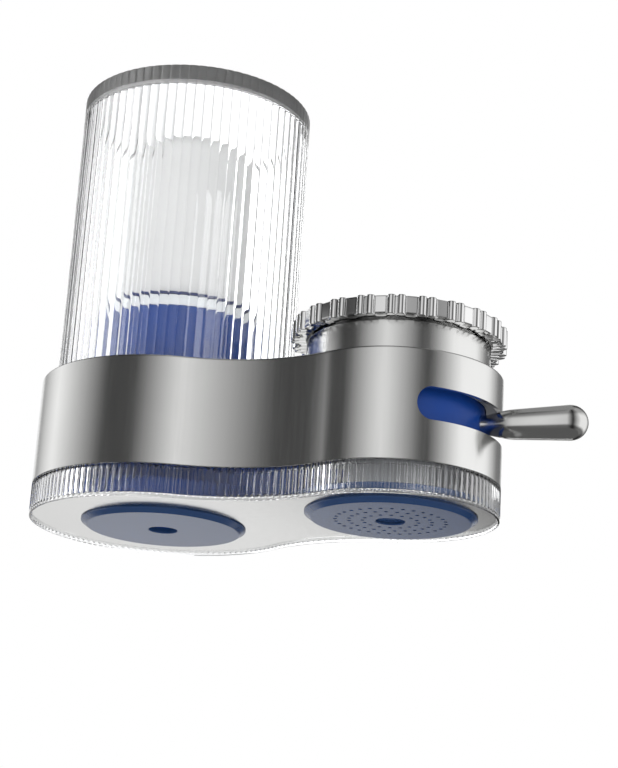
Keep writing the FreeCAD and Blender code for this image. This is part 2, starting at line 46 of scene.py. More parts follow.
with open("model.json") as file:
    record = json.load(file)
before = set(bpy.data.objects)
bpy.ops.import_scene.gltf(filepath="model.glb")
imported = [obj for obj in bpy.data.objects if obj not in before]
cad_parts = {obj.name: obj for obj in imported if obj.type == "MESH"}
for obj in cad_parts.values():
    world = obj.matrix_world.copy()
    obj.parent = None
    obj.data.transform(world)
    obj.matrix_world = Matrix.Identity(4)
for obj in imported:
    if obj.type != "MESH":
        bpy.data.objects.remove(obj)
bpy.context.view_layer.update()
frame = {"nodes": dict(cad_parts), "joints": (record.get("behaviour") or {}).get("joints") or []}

MM = 0.001


def low(node):
    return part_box(node)[0]


def high(node):
    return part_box(node)[1]


def joint_place(name):
    return Vector(next(j for j in frame["joints"] if j["name"] == name)["pos_m"])


filter_x = joint_place("cover_turn").x
shell_top = high("housing_shell").z
shell_bottom = low("housing_shell").z
plate_face = low("base_plate").z + 0.1 * MM


def length(name, description, value):
    return bpy.props.FloatProperty(name=name, description=description, default=value,
                                   subtype="DISTANCE", unit="LENGTH", precision=5)


def turn(name, description, value):
    return bpy.props.FloatProperty(name=name, description=description, default=value,
                                   subtype="ANGLE", unit="ROTATION")


def count(name, description, value):
    return bpy.props.IntProperty(name=name, description=description, default=value, min=1)


def colour(name, description, value):
    return bpy.props.FloatVectorProperty(name=name, description=description, default=value,
                                         size=3, subtype="COLOR", min=0.0, max=1.0)


class HousingSizes(bpy.types.PropertyGroup):
    """Sizes of the two-lobed housing, its clear skirt and its base plate."""
    filter_lobe: length("Filter lobe", "Radius of the large lobe", filter_x - low("housing_shell").x)
    valve_lobe: length("Valve lobe", "Radius of the small lobe", high("housing_shell").x)
    waist: length("Waist", "Radius of the hollow arcs between the lobes", 50 * MM)
    wall: length("Wall", "Thickness of the steel sleeve", 1.2 * MM)
    deck: length("Deck", "Thickness of the sleeve's top", 2.0 * MM)
    top_edge: length("Top edge", "Rounding of the sleeve's top edge", 0.6 * MM)
    low_edge: length("Low edge", "Rounding of the sleeve's lower rim", 0.25 * MM)
    slot_height: length("Slot height", "Height of the lever's slot", 9.2 * MM)
    slot_level: length("Slot level", "Middle of the slot", -29.5 * MM)
    slot_half_turn: turn("Slot half turn", "Half of the slot's spread", math.radians(57.7))
    reed_pitch: length("Reed pitch", "Spacing of the skirt's reeds", 2.0 * MM)
    reed_depth: length("Reed depth", "Depth of the hollows between the skirt's reeds", 0.55 * MM)
    rim_inset: length("Rim inset", "How far the skirt's plain rim lies inside its reeds", 0.08 * MM)
    rim_height: length("Rim height", "Height of the skirt's plain rim", 0.5 * MM)
    arch_height: length("Arch height", "Height of the round ends of the hollows", 1.0 * MM)
    skirt_wall: length("Skirt wall", "Thickness of the clear skirt", 1.4 * MM)
    skirt_foot: length("Skirt foot", "Thickness of the skirt beside the base plate", 0.8 * MM)
    skirt_lip: length("Skirt lip", "Thickness of the skirt's lip inside the sleeve", 1.0 * MM)
    plate_gap: length("Plate gap", "Gap round the base plate", 0.1 * MM)
    plate_edge: length("Plate edge", "Rounding of the base plate's lower edge", 0.1 * MM)
    plate_thickness: length("Plate thickness", "Thickness of the base plate's sheet", 0.3 * MM)
    opening_gap: length("Opening gap", "Gap round the cover in the deck", 0.3 * MM)
    collar_gap: length("Collar gap", "Gap round the collar in the deck", 0.1 * MM)


class DiscSizes(bpy.types.PropertyGroup):
    """Sizes of the two outlet discs."""
    root: length("Root", "Radius where the disc meets the plate", 24.0 * MM)
    face: length("Face", "Radius of the lower face", 22.2 * MM)
    edge: length("Edge", "Rounding of the lower face's edge", 0.5 * MM)
    clip: length("Clip", "Outer radius of the clip ring", 21.7 * MM)
    clip_wall: length("Clip wall", "Thickness of the clip ring", 1.5 * MM)
    outlet: length("Outlet", "Radius of the filtered water's hole", 4.2 * MM)
    dimple: length("Dimple", "Radius of the hollow in the spray disc", 4.1 * MM)
    dimple_depth: length("Dimple depth", "Depth of the hollow in the spray disc", 1.0 * MM)
    hole: length("Spray hole", "Radius of each spray hole", 0.58 * MM)
    hole_depth: length("Spray hole depth", "Depth of each spray hole", 1.0 * MM)
    outer_ring: length("Outer ring", "Radius of the outermost ring of spray holes", 15.3 * MM)
    ring_spacing: length("Ring spacing", "Step between rings of spray holes", 3.8 * MM)
    wall: length("Wall", "Outer radius of the blue wall above the filtered disc", 29.6 * MM)
    band: length("Band", "Outer radius of the blue flange above the base plate", 28.3 * MM)
    band_height: length("Band height", "Height of the blue flange", 2.0 * MM)
    rings: count("Rings", "Rings of spray holes", 3)
    outer_holes: count("Outer holes", "Spray holes in the outermost ring", 32)
    fewer_holes: count("Fewer holes", "How many fewer holes each ring inward has", 8)


class NutSizes(bpy.types.PropertyGroup):
    """Sizes of the collar and the ring nut."""
    flat: length("Flat", "Radius at the flats of the ring nut", 29.8 * MM)
    rib: length("Rib", "Radius at the crest of the ribs", 30.7 * MM)
    valley: length("Valley", "Radius in the valleys beside the ribs", 29.3 * MM)
    grips: count("Grips", "Pairs of ribs round the nut", 22)
    flat_share: bpy.props.FloatProperty(name="Flat share", default=0.36, min=0.1, max=0.9,
                                        description="Share of each grip that is flat")
    chamfer: length("Chamfer", "Step back of the flats at the top", 0.15 * MM)
    low_step: length("Low step", "How far the ribs reach below the flats", 0.5 * MM)
    lip: length("Lip", "Thickness of the nut's top lip", 1.9 * MM)
    bore: length("Bore", "Radius of the nut's threaded bore", 24.3 * MM)
    hole: length("Hole", "Radius of the hole in the nut's lip", 14.1 * MM)
    neck: length("Neck", "Radius of the threaded neck", 24.0 * MM)
    band_step: length("Band step", "How far the collar's band stands out from the neck", 2.1 * MM)


class CoverSizes(bpy.types.PropertyGroup):
    """Sizes of the clear cover and the lever."""
    wall: length("Wall", "Thickness of the cover's wall", 2.6 * MM)
    top: length("Top", "Thickness of the cover's top", 4.8 * MM)
    bevel: length("Bevel", "Bevel round the cover's top", 0.4 * MM)
    reeds: count("Reeds", "Upright reeds round the cover", 80)
    reed_crown: length("Reed crown", "Rise of the cover's reeds over their width", 0.09 * MM)
    reed_groove: length("Reed groove", "Depth of the narrow grooves between reeds", 0.11 * MM)
    foot: length("Foot", "Radius of the threaded foot", 34.2 * MM)
    lever_angle: turn("Lever angle", "Direction of the lever at rest", math.radians(5.2))
    lever_level: length("Lever level", "Height of the lever's axis", -28.9 * MM)


class FinishColours(bpy.types.PropertyGroup):
    """Base colours of the finishes."""
    steel: colour("Steel", "Satin steel of the sleeve and collar", (0.78, 0.78, 0.77))
    chrome: colour("Chrome", "Polished plating of the ring nut", (0.86, 0.86, 0.86))
    lever: colour("Lever", "Satin plating of the lever", (0.72, 0.72, 0.71))
    base: colour("Base", "Bright plate inside the skirt", (0.72, 0.72, 0.71))
    clear: colour("Clear", "Clear moulded plastic", (0.985, 0.99, 0.995))
    blue: colour("Blue", "Blue moulded plastic", (0.014, 0.042, 0.122))
    # Painted light: a lighter, more saturated copy of the blue for pieces behind clear plastic,
    # standing in for the lamp light that the plastic stops
    lit_blue_behind_clear: colour("Lit blue behind clear", "Blue plastic behind clear plastic", (0.006, 0.044, 0.235))
    white: colour("White", "Filter ceramic", (0.66, 0.66, 0.655))
    nylon: colour("Nylon", "Pale moulded rings", (0.70, 0.72, 0.74))
    grey: colour("Grey", "Valve chamber", (0.20, 0.205, 0.215))
    rubber: colour("Rubber", "Seals", (0.020, 0.020, 0.022))
    blue_rubber: colour("Blue rubber", "Gasket of the cartridge", (0.012, 0.028, 0.130))
    carbon: colour("Carbon", "Filling of the candle", (0.015, 0.015, 0.016))


def housing():
    return bpy.context.scene.filter_housing


def discs():
    return bpy.context.scene.filter_discs


def nut():
    return bpy.context.scene.filter_nut


def cover():
    return bpy.context.scene.filter_cover


def colours():
    return bpy.context.scene.filter_colours


def around(radius, angle, level, axis_x=0.0):
    """Point at a radius and an angle in radians round an upright axis."""
    return Vector((axis_x + radius * math.cos(angle), radius * math.sin(angle), level))


def outline_stations(per_reed):
    """Stations round the two-lobed outline, anticlockwise: centre, radius, direction, side, phase.

    side is +1 on the lobes and -1 on the hollow waist; phase runs from 0 to 1 over each reed.
    """
    sizes = housing()
    pitch = -filter_x
    to_filter = sizes.filter_lobe + sizes.waist
    to_valve = sizes.valve_lobe + sizes.waist
    x = (to_filter ** 2 - to_valve ** 2 - pitch ** 2) / (2 * pitch)
    y = math.sqrt(to_valve ** 2 - x ** 2)
    filter_tangent = math.atan2(y, x - filter_x)
    valve_tangent = math.atan2(y, x)
    waist_start = valve_tangent - math.pi
    waist_sweep = filter_tangent - valve_tangent
    arcs = [
        (Vector((0, 0)), sizes.valve_lobe, -valve_tangent, 2 * valve_tangent, 1),
        (Vector((x, y)), sizes.waist, waist_start, waist_sweep, -1),
        (Vector((filter_x, 0)), sizes.filter_lobe, filter_tangent, 2 * (math.pi - filter_tangent), 1),
        (Vector((x, -y)), sizes.waist, math.pi - filter_tangent, waist_sweep, -1),
    ]
    stations = []
    for centre, radius, start, sweep, side in arcs:
        reeds = round(abs(sweep) * radius / sizes.reed_pitch)
        for step in range(reeds * per_reed):
            angle = start + sweep * step / (reeds * per_reed)
            direction = Vector((math.cos(angle), math.sin(angle)))
            stations.append((centre, radius, direction, side, (step % per_reed) / per_reed))
    return stations


def outline_ring(stations, inset, level):
    """Ring of points on the outline moved in by inset, a length or a function of the phase."""
    ring = []
    for centre, radius, direction, side, phase in stations:
        depth = inset(phase) if callable(inset) else inset
        flat = centre + direction * (radius - side * depth)
        ring.append(Vector((flat.x, flat.y, level)))
    return ring


def round_ring(segments, radius, level, axis_x=0.0):
    return [around(radius, math.tau * step / segments, level, axis_x) for step in range(segments)]


def rounded_section(corners, steps=5, support=0.3 * MM):
    """Section through (across, level, rounding) corners, each rounded by an arc.

    A point just before and just after each arc keeps the flats beside it flat in the shading.
    """
    points = []
    for index, (across, level, rounding) in enumerate(corners):
        here = Vector((across, level))
        if rounding <= 0 or index in (0, len(corners) - 1):
            points.append(here)
            continue
        before = Vector(corners[index - 1][:2]) - here
        after = Vector(corners[index + 1][:2]) - here
        turn_angle = before.angle(after)
        reach = rounding / math.tan(turn_angle / 2)
        centre = here + (before.normalized() + after.normalized()).normalized() * (
            rounding / math.sin(turn_angle / 2))
        first = here + before.normalized() * reach
        last = here + after.normalized() * reach
        if before.length > reach + 2 * support:
            points.append(first + before.normalized() * support)
        start = first - centre
        swing = start.angle_signed(last - centre)
        for step in range(steps + 1):
            arm = start.copy()
            arm.rotate(Matrix.Rotation(-swing * step / steps, 2))
            points.append(centre + arm)
        if after.length > reach + 2 * support:
            points.append(last + after.normalized() * support)
    return points


def new_circle(name, segments):
    bpy.ops.object.select_all(action="DESELECT")
    bpy.ops.mesh.primitive_circle_add(vertices=segments, radius=1.0, fill_type="NOTHING")
    piece = bpy.context.object
    piece.name = name
    piece.data.name = name
    stations = piece.data.attributes.new("station", "INT", "POINT")
    stations.data.foreach_set("value", list(range(segments)))
    bpy.ops.object.mode_set(mode="EDIT")
    bpy.ops.mesh.select_mode(type="VERT")
    bpy.ops.mesh.select_all(action="SELECT")
    return piece


def place_loop(piece, ring):
    """Puts each selected vertex on its own station of the ring."""
    mesh = bmesh.from_edit_mesh(piece.data)
    station = mesh.verts.layers.int["station"]
    for vertex in mesh.verts:
        if vertex.select:
            vertex.co = ring[vertex[station]]
    bmesh.update_edit_mesh(piece.data)


def extrude_over(piece, rings):
    """Extrudes the selected loop from ring to ring."""
    for ring in rings:
        bpy.ops.mesh.extrude_edges_move()
        place_loop(piece, ring)


def select_open(piece, level=None):
    """Selects the open edges, or only those at one level."""
    bpy.ops.mesh.select_mode(type="EDGE")
    bpy.ops.mesh.select_all(action="DESELECT")
    mesh = bmesh.from_edit_mesh(piece.data)
    for edge in mesh.edges:
        if len(edge.link_faces) > 1:
            continue
        if level is None or all(abs(vertex.co.z - level) < 1e-6 for vertex in edge.verts):
            edge.select = True
    mesh.select_flush_mode()
    bmesh.update_edit_mesh(piece.data)


def close_mesh(piece, smooth=35.0):
    """Merges doubles, turns the faces outwards and leaves edit mode with smooth shading."""
    bpy.ops.mesh.select_mode(type="VERT")
    bpy.ops.mesh.select_all(action="SELECT")
    bpy.ops.mesh.remove_doubles(threshold=1e-7)
    bpy.ops.mesh.normals_make_consistent(inside=False)
    bpy.ops.object.mode_set(mode="OBJECT")
    if "station" in piece.data.attributes:
        piece.data.attributes.remove(piece.data.attributes["station"])
    bpy.ops.object.shade_smooth_by_angle(angle=math.radians(smooth))
    return piece


def skinned(name, rings, ends="CAPS", smooth=35.0):
    """Closed piece over a row of rings.

    ends is CAPS for flat ends, POLES for ends drawn together, or LOOP where the section closes.
    """
    piece = new_circle(name, len(rings[0]))
    place_loop(piece, rings[0])
    extrude_over(piece, rings[1:])
    if ends == "LOOP":
        extrude_over(piece, rings[:1])
    else:
        for level in {rings[0][0].z, rings[-1][0].z}:
            select_open(piece, level)
            if ends == "POLES":
                bpy.ops.mesh.merge(type="CENTER")
            else:
                bpy.ops.mesh.edge_face_add()
    return close_mesh(piece, smooth)


def turned(name, corners, axis_x=0.0, segments=128, ends="LOOP", steps=5, smooth=35.0):
    """Turned piece from (radius, level, rounding) corners of its section."""
    if ends == "LOOP":
        middle = ((corners[0][0] + corners[-1][0]) / 2, (corners[0][1] + corners[-1][1]) / 2, 0.0)
        corners = [middle] + list(corners) + [middle]
        section = rounded_section(corners, steps)[:-1]
    else:
        section = rounded_section(corners, steps)
    rings = [round_ring(segments, max(point.x, 0.02 * MM), point.y, axis_x) for point in section]
    return skinned(name, rings, ends, smooth)


def cut_away(piece, cutter):
    """Cuts the cutter's solid out of the piece and removes the cutter."""
    modifier = piece.modifiers.new("cut", "BOOLEAN")
    modifier.operation = "DIFFERENCE"
    modifier.solver = "EXACT"
    modifier.object = cutter
    bpy.ops.object.select_all(action="DESELECT")
    bpy.context.view_layer.objects.active = piece
    piece.select_set(True)
    bpy.ops.object.modifier_apply(modifier=modifier.name)
    bpy.data.objects.remove(cutter)
    if not piece.data.polygons:
        raise RuntimeError("the cut left nothing of " + piece.name)
    return piece


def smooth_by_angle(piece, degrees):
    bpy.ops.object.select_all(action="DESELECT")
    bpy.context.view_layer.objects.active = piece
    piece.select_set(True)
    bpy.ops.object.shade_smooth_by_angle(angle=math.radians(degrees))


def dress(piece, body, node, material):
    """Puts the finish on a piece and lets it stand for its node on that body."""
    piece.data.materials.clear()
    piece.data.materials.append(material)
    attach(piece, body)
    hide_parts(node)
    return piece


def add_node(holder, kind, inputs=None, **settings):
    """Node of a material or the world; an input is a value, or a socket to link from."""
    node = holder.node_tree.nodes.new(kind)
    for name, value in settings.items():
        setattr(node, name, value)
    for socket, value in (inputs or {}).items():
        if isinstance(value, bpy.types.NodeSocket):
            holder.node_tree.links.new(value, node.inputs[socket])
        else:
            node.inputs[socket].default_value = value
    return node


def map_range(holder, source, across, values):
    """Goes from the first value to the second as the source crosses its range."""
    node = add_node(holder, "ShaderNodeMapRange", {
        "Value": source, "From Min": across[0], "From Max": across[1],
        "To Min": values[0], "To Max": values[1]})
    return node.outputs["Result"]


def product(holder, *factors):
    result = factors[0]
    for factor in factors[1:]:
        node = add_node(holder, "ShaderNodeMath", {0: result, 1: factor}, operation="MULTIPLY")
        result = node.outputs[0]
    return result


def coordinates(holder, kind="Object"):
    """X, Y and Z of the place or direction."""
    place = add_node(holder, "ShaderNodeTexCoord")
    return add_node(holder, "ShaderNodeSeparateXYZ", {0: place.outputs[kind]}).outputs


def noise(material, scale, stretch=(1.0, 1.0, 1.0), detail=3.0):
    place = add_node(material, "ShaderNodeTexCoord")
    mapping = add_node(material, "ShaderNodeMapping",
                       {"Vector": place.outputs["Object"], "Scale": stretch})
    texture = add_node(material, "ShaderNodeTexNoise", {
        "Vector": mapping.outputs["Vector"], "Scale": scale, "Detail": detail})
    return texture.outputs["Fac"]


# Range that the middle of a noise covers
noise_middle = (0.3, 0.7)


def mixed_colour(material, source, first, second):
    mix = add_node(material, "ShaderNodeMix", {
        "Factor": source, "A": (*first, 1.0), "B": (*second, 1.0)}, data_type="RGBA")
    return mix.outputs["Result"]


def shade_of(rgb, factor):
    return tuple(min(1.0, channel * factor) for channel in rgb)


def finish(name, rgb, variation=0.05, roughness=(0.3, 0.4), grain=400.0, stretch=(1, 1, 1),
           bump=0.0, **constants):
    """Finish whose colour, roughness and relief vary with a fine grain."""
    material = bpy.data.materials.new(name)
    material.use_nodes = True
    links = material.node_tree.links
    shader = material.node_tree.nodes["Principled BSDF"]
    grain_value = noise(material, grain, stretch)
    cloud_value = noise(material, 45.0)
    cloud = map_range(material, cloud_value, noise_middle, (0.0, 1.0))
    links.new(mixed_colour(material, cloud, shade_of(rgb, 1.0 - variation),
                           shade_of(rgb, 1.0 + variation)), shader.inputs["Base Color"])
    links.new(map_range(material, grain_value, noise_middle, roughness),
              shader.inputs["Roughness"])
    if bump:
        relief = add_node(material, "ShaderNodeBump", {
            "Strength": 1.0, "Distance": bump, "Height": grain_value})
        links.new(relief.outputs["Normal"], shader.inputs["Normal"])
    for socket, value in constants.items():
        shader.inputs[socket.replace("_", " ")].default_value = value
    return material


def satin_steel():
    """Steel with a fine upright grain."""
    return finish("satin_steel", colours().steel, 0.02, (0.17, 0.23), 900.0, (1, 1, 0.06),
                  0.000004, Metallic=1.0)


def chrome_plate():
    return finish("chrome_plate", colours().chrome, 0.01, (0.05, 0.09), 300.0, bump=0.000002,
                  Metallic=1.0)


def satin_chrome():
    return finish("satin_chrome", colours().lever, 0.02, (0.13, 0.18), 600.0, (0.2, 1, 1),
                  0.000003, Metallic=1.0)


def bright_base():
    return finish("bright_base", colours().base, 0.01, (0.14, 0.17), 500.0, bump=0.000001,
                  Metallic=1.0)


def clear_acrylic():
    """Clear moulded plastic with a faint flow in its surface."""
    return finish("clear_acrylic", colours().clear, 0.004, (0.0, 0.01), 120.0, (1, 1, 0.25),
                  0.000004, Transmission_Weight=1.0, IOR=1.49)


def clear_cover():
    """The clear plastic of the cover, whose thick top is a little frosted and has painted shade: grey
    at its outer edge, for the dark of light reflected inside the top.
    """
    material = clear_acrylic()
    links = material.node_tree.links
    shader = material.node_tree.nodes["Principled BSDF"]
    shader.inputs["Specular IOR Level"].default_value = 0.25
    place = add_node(material, "ShaderNodeTexCoord").outputs["Object"]
    level = coordinates(material)["Z"]
    ceiling = high("cartridge_cover").z - cover().top
    above = map_range(material, level, (ceiling - 0.2 * MM, ceiling + 0.1 * MM), (0.0, 1.0))
    clear_and_frosted = (0.005, 0.32)
    links.new(map_range(material, above, (0.0, 1.0), clear_and_frosted),
              shader.inputs["Roughness"])
    axis = add_node(material, "ShaderNodeCombineXYZ", {"X": filter_x, "Z": level})
    reach = add_node(material, "ShaderNodeVectorMath", {0: place, 1: axis.outputs[0]},
                     operation="DISTANCE")
    rim = high("cartridge_cover").y
    outside = map_range(material, reach.outputs["Value"], (rim - 1.0 * MM, rim - 0.7 * MM),
                        (0.0, 1.0))
    # Painted shade: grey in the base colour on the outer skin of the thick top, standing in for the
    # dark of light reflected inside it
    painted_shade_grey = (0.14, 0.14, 0.14)
    links.new(mixed_colour(material, product(material, above, outside), colours().clear,
                           painted_shade_grey), shader.inputs["Base Color"])
    return material


def blue_plastic():
    return finish("blue_plastic", colours().blue, 0.03, (0.24, 0.25), 700.0, bump=0.000001,
                  IOR=1.5)


def lit_blue_behind_clear():
    """The blue plastic where clear plastic covers it, with painted light: lighter and more saturated,
    standing in for the lamp light that the clear plastic stops.
    """
    return finish("blue_plastic_lit_behind_clear", colours().lit_blue_behind_clear, 0.03, (0.3, 0.34), 700.0, IOR=1.33)


def white_ceramic():
    return finish("white_ceramic", colours().white, 0.03, (0.75, 0.9), 1400.0, bump=0.00003)


def white_nylon():
    return finish("white_nylon", colours().nylon, 0.03, (0.4, 0.5), 700.0, bump=0.00001)


def grey_plastic():
    return finish("grey_plastic", colours().grey, 0.05, (0.14, 0.20), 700.0, bump=0.000002)


def black_rubber():
    return finish("black_rubber", colours().rubber, 0.1, (0.55, 0.7), 900.0, bump=0.00002)


def blue_rubber():
    return finish("blue_rubber", colours().blue_rubber, 0.1, (0.45, 0.6), 900.0, bump=0.00001)


def mesh_steel():
    return finish("mesh_steel", colours().steel, 0.08, (0.2, 0.35), 1500.0, bump=0.00002,
                  Metallic=1.0)


def black_carbon():
    return finish("black_carbon", colours().carbon, 0.3, (0.7, 0.95), 2200.0, bump=0.0002)


finish_makers = {
    "satin_steel": satin_steel,
    "chrome_plate": chrome_plate,
    "satin_chrome": satin_chrome,
    "bright_base": bright_base,
    "clear_acrylic": clear_acrylic,
    "clear_cover": clear_cover,
    "blue_plastic": blue_plastic,
    "lit_blue_behind_clear": lit_blue_behind_clear,
    "white_ceramic": white_ceramic,
    "white_nylon": white_nylon,
    "grey_plastic": grey_plastic,
    "black_rubber": black_rubber,
    "blue_rubber": blue_rubber,
    "mesh_steel": mesh_steel,
    "black_carbon": black_carbon,
}


def finish_of(slot):
    """The finish of a record slot, made once."""
    return bpy.data.materials.get("finish_" + slot) or name_finish(slot)


def name_finish(slot):
    material = finish_makers[slot]()
    material.name = "finish_" + slot
    return material


def slot_cutter(level, height, half_turn, inner, outer):
    """Round-ended slot as a solid: its outline on a cylinder, extruded outwards."""
    end = height / 2
    flat_turn = half_turn - end / outer
    across = []
    for step in range(25):
        angle = math.pi / 2 + math.pi * step / 24
        across.append((-flat_turn + end / outer * math.cos(angle), level + end * math.sin(angle)))
    for step in range(1, 30):
        across.append((-flat_turn + 2 * flat_turn * step / 30, level - end))
    for step in range(25):
        angle = -math.pi / 2 + math.pi * step / 24
        across.append((flat_turn + end / outer * math.cos(angle), level + end * math.sin(angle)))
    for step in range(1, 30):
        across.append((flat_turn - 2 * flat_turn * step / 30, level + end))
    rings = [[around(radius, angle, height_at) for angle, height_at in across]
             for radius in (inner, outer)]
    piece = new_circle("slot_cutter", len(across))
    place_loop(piece, rings[0])
    extrude_over(piece, rings[1:])
    select_open(piece)
    bpy.ops.mesh.fill(use_beauty=True)
    return close_mesh(piece)


def add_hole(radius, levels, axis_x, rounding, segments=160):
    """Adds the wall of a round hole to the mesh in edit mode, open at both levels."""
    top, bottom = levels
    rows = rounded_section([(radius + rounding, top, 0), (radius, top, rounding * 0.999),
                            (radius, bottom, 0)], 3)
    bpy.ops.mesh.select_all(action="DESELECT")
    bpy.ops.mesh.primitive_circle_add(vertices=segments, radius=rows[0].x,
                                      location=(axis_x, 0, rows[0].y))
    for before, after in zip(rows, rows[1:]):
        bpy.ops.mesh.extrude_edges_move(
            TRANSFORM_OT_translate={"value": (0, 0, after.y - before.y)})
        ratio = after.x / before.x
        bpy.ops.transform.resize(value=(ratio, ratio, 1), center_override=(axis_x, 0, after.y))


def fill_level(piece, level):
    select_open(piece, level)
    bpy.ops.mesh.fill(use_beauty=True)


class FILTER_OT_housing_shell(bpy.types.Operator):
    """Steel sleeve with its deck, two openings and the lever's slot"""
    bl_idname = "filter.housing_shell"
    bl_label = "Housing shell"

    def execute(self, context):
        sizes = housing()
        stations = outline_stations(4)
        deck_bottom = shell_top - sizes.deck
        section = rounded_section([
            (sizes.wall, deck_bottom, 0),
            (sizes.wall, shell_bottom, sizes.low_edge),
            (0, shell_bottom, sizes.low_edge),
            (0, shell_top, sizes.top_edge),
            (sizes.top_edge + 0.5 * MM, shell_top, 0),
        ])
        rings = [outline_ring(stations, point.x, point.y) for point in section]
        piece = new_circle("housing_sleeve", len(stations))
        place_loop(piece, rings[0])
        extrude_over(piece, rings[1:])
        cover_opening = high("cartridge_cover").y + sizes.opening_gap
        collar_opening = nut().neck + nut().band_step + sizes.collar_gap
        add_hole(cover_opening, (shell_top, deck_bottom), filter_x, 0.3 * MM)
        add_hole(collar_opening, (shell_top, deck_bottom), 0.0, 0.2 * MM)
        fill_level(piece, shell_top)
        fill_level(piece, deck_bottom)
        close_mesh(piece)
        cutter = slot_cutter(sizes.slot_level, sizes.slot_height, sizes.slot_half_turn,
                             sizes.valve_lobe - 4 * MM, sizes.valve_lobe + 3 * MM)
        cut_away(piece, cutter)
        smooth_by_angle(piece, 35.0)
        dress(piece, "housing", "housing_shell", finish_of("satin_steel"))
        return {"FINISHED"}


class FILTER_OT_skirt(bpy.types.Operator):
    """Clear skirt: hollows between reeds, with arched ends above a plain rim"""
    bl_idname = "filter.skirt"
    bl_label = "Clear skirt"

    def execute(self, context):
        sizes = housing()
        stations = outline_stations(10)
        bottom = low("base_skirt").z
        lip_top = high("base_skirt").z
        rim_top = bottom + sizes.rim_height
        inside = sizes.skirt_wall
        foot_top = plate_face + sizes.plate_thickness + sizes.plate_gap
        lip_outside = sizes.wall + 0.1 * MM
        lip_inside = lip_outside + sizes.skirt_lip
        ledge = shell_bottom - sizes.skirt_lip

        def hollow(share):
            """Inset over one reed where the hollow has reached this share of its end arch."""
            def inset(phase):
                across = 2 * abs(phase - round(phase))
                fullness = 1 - across ** 2 - (1 - share) ** 2
                return sizes.reed_depth * max(0.0, fullness)
            return inset

        rings = [
            outline_ring(stations, lip_inside, lip_top),
            outline_ring(stations, lip_inside, ledge),
            outline_ring(stations, inside, ledge - 0.1 * MM),
            outline_ring(stations, inside, foot_top),
            outline_ring(stations, sizes.skirt_foot, foot_top),
            outline_ring(stations, sizes.skirt_foot, bottom + 0.1 * MM),
            outline_ring(stations, sizes.skirt_foot - 0.1 * MM, bottom),
            outline_ring(stations, 0.3 * MM, bottom),
            outline_ring(stations, 0.12 * MM, bottom + 0.08 * MM),
            outline_ring(stations, sizes.rim_inset, bottom + 0.25 * MM),
            outline_ring(stations, sizes.rim_inset, rim_top - 0.12 * MM),
            outline_ring(stations, 0.0, rim_top),
        ]
        for share in (0.06, 0.14, 0.26, 0.42, 0.64, 1.0):
            rings.append(outline_ring(stations, hollow(share), rim_top + sizes.arch_height * share))
        rings.append(outline_ring(stations, hollow(1.0), shell_bottom))
        rings.append(outline_ring(stations, lip_outside, shell_bottom))
        rings.append(outline_ring(stations, lip_outside, lip_top))
        piece = skinned("clear_skirt", rings, "LOOP", 40.0)
        dress(piece, "housing", "base_skirt", finish_of("clear_acrylic"))
        return {"FINISHED"}


class FILTER_OT_base_plate(bpy.types.Operator):
    """Bright plate with a rounded lower edge and two openings"""
    bl_idname = "filter.base_plate"
    bl_label = "Base plate"

    def execute(self, context):
        sizes = housing()
        stations = outline_stations(4)
        bottom = plate_face
        top = bottom + sizes.plate_thickness
        inset = sizes.skirt_foot + sizes.plate_gap
        section = rounded_section([
            (inset + 1.0 * MM, top, 0),
            (inset, top, 0.05 * MM),
            (inset, bottom, sizes.plate_edge),
            (inset + sizes.plate_edge + 1.0 * MM, bottom, 0),
        ])
        piece = new_circle("bright_plate", len(stations))
        rings = [outline_ring(stations, point.x, point.y) for point in section]
        place_loop(piece, rings[0])
        extrude_over(piece, rings[1:])
        for axis_x in (0.0, filter_x):
            add_hole(discs().clip + 0.1 * MM, (top, bottom), axis_x, 0.2 * MM)
        fill_level(piece, top)
        fill_level(piece, bottom)
        close_mesh(piece)
        dress(piece, "housing", "base_plate", finish_of("bright_base"))
        return {"FINISHED"}


def disc_corners(hole, lip):
    """Section of an outlet disc, from its hole out over its wall and back through its clip."""
    sizes = discs()
    face = low("spray_disc").z
    top = plate_face
    clip_top = high("spray_disc").z
    clip_inside = sizes.clip - sizes.clip_wall
    return [
        (hole, face, 0.3 * MM),
        (sizes.face, face, sizes.edge),
        (sizes.root - lip, top - 0.45 * MM, 0.05 * MM),
        (sizes.root, top - 0.40 * MM, 0.15 * MM),
        (sizes.root, top, 0.05 * MM),
        (sizes.clip, top, 0.05 * MM),
        (sizes.clip, clip_top, 0.2 * MM),
        (clip_inside, clip_top, 0.2 * MM),
        (clip_inside, top, 0.05 * MM),
        (hole, top, 0.05 * MM),
    ]


